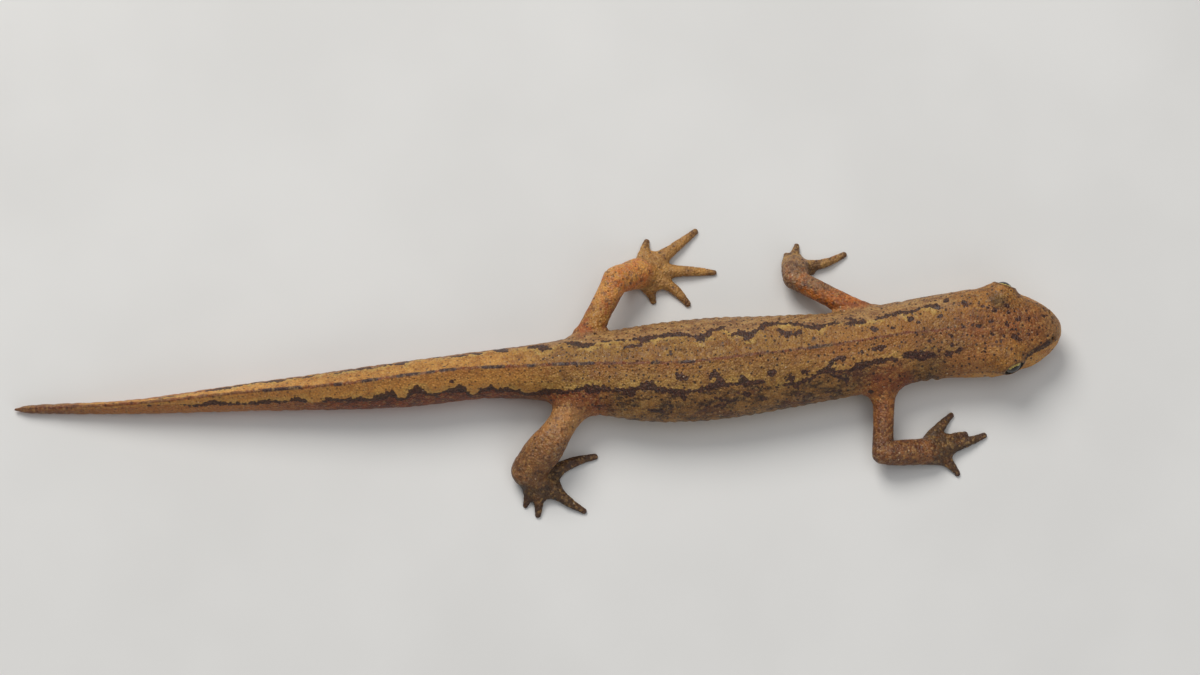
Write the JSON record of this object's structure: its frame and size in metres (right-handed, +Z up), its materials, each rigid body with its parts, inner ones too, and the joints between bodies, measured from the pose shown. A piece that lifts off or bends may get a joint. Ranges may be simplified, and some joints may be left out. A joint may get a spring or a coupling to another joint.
{
  "type": "smooth newt",
  "caption": "Life-size smooth newt in its land phase, standing with its legs spread, belly and tail on the ground and head slightly raised.",
  "frame": {"origin": "on the ground, under the middle of the newt's box", "axes": "+X towards the snout, +Y towards the newt's left side, +Z up"},
  "size_m": [0.0848, 0.0242, 0.0056],
  "materials": {
    "skin": "moist, finely grained amphibian skin, ochre brown with dark lines and dots",
    "eye": "glossy wet eye, black pupil with a narrow gold iris"
  },
  "bodies": {
    "root": {"head": "skin", "neck": "skin", "trunk": "skin", "tail_base": "skin", "tail_middle": "skin", "tail_rear": "skin", "tail_tip": "skin", "upper_arm_left": "skin", "forearm_left": "skin", "hand_left": "skin", "upper_arm_right": "skin", "forearm_right": "skin", "hand_right": "skin", "thigh_left": "skin", "shank_left": "skin", "foot_left": "skin", "thigh_right": "skin", "shank_right": "skin", "foot_right": "skin", "eye_left": "eye", "eye_right": "eye"}
  },
  "joints": []
}
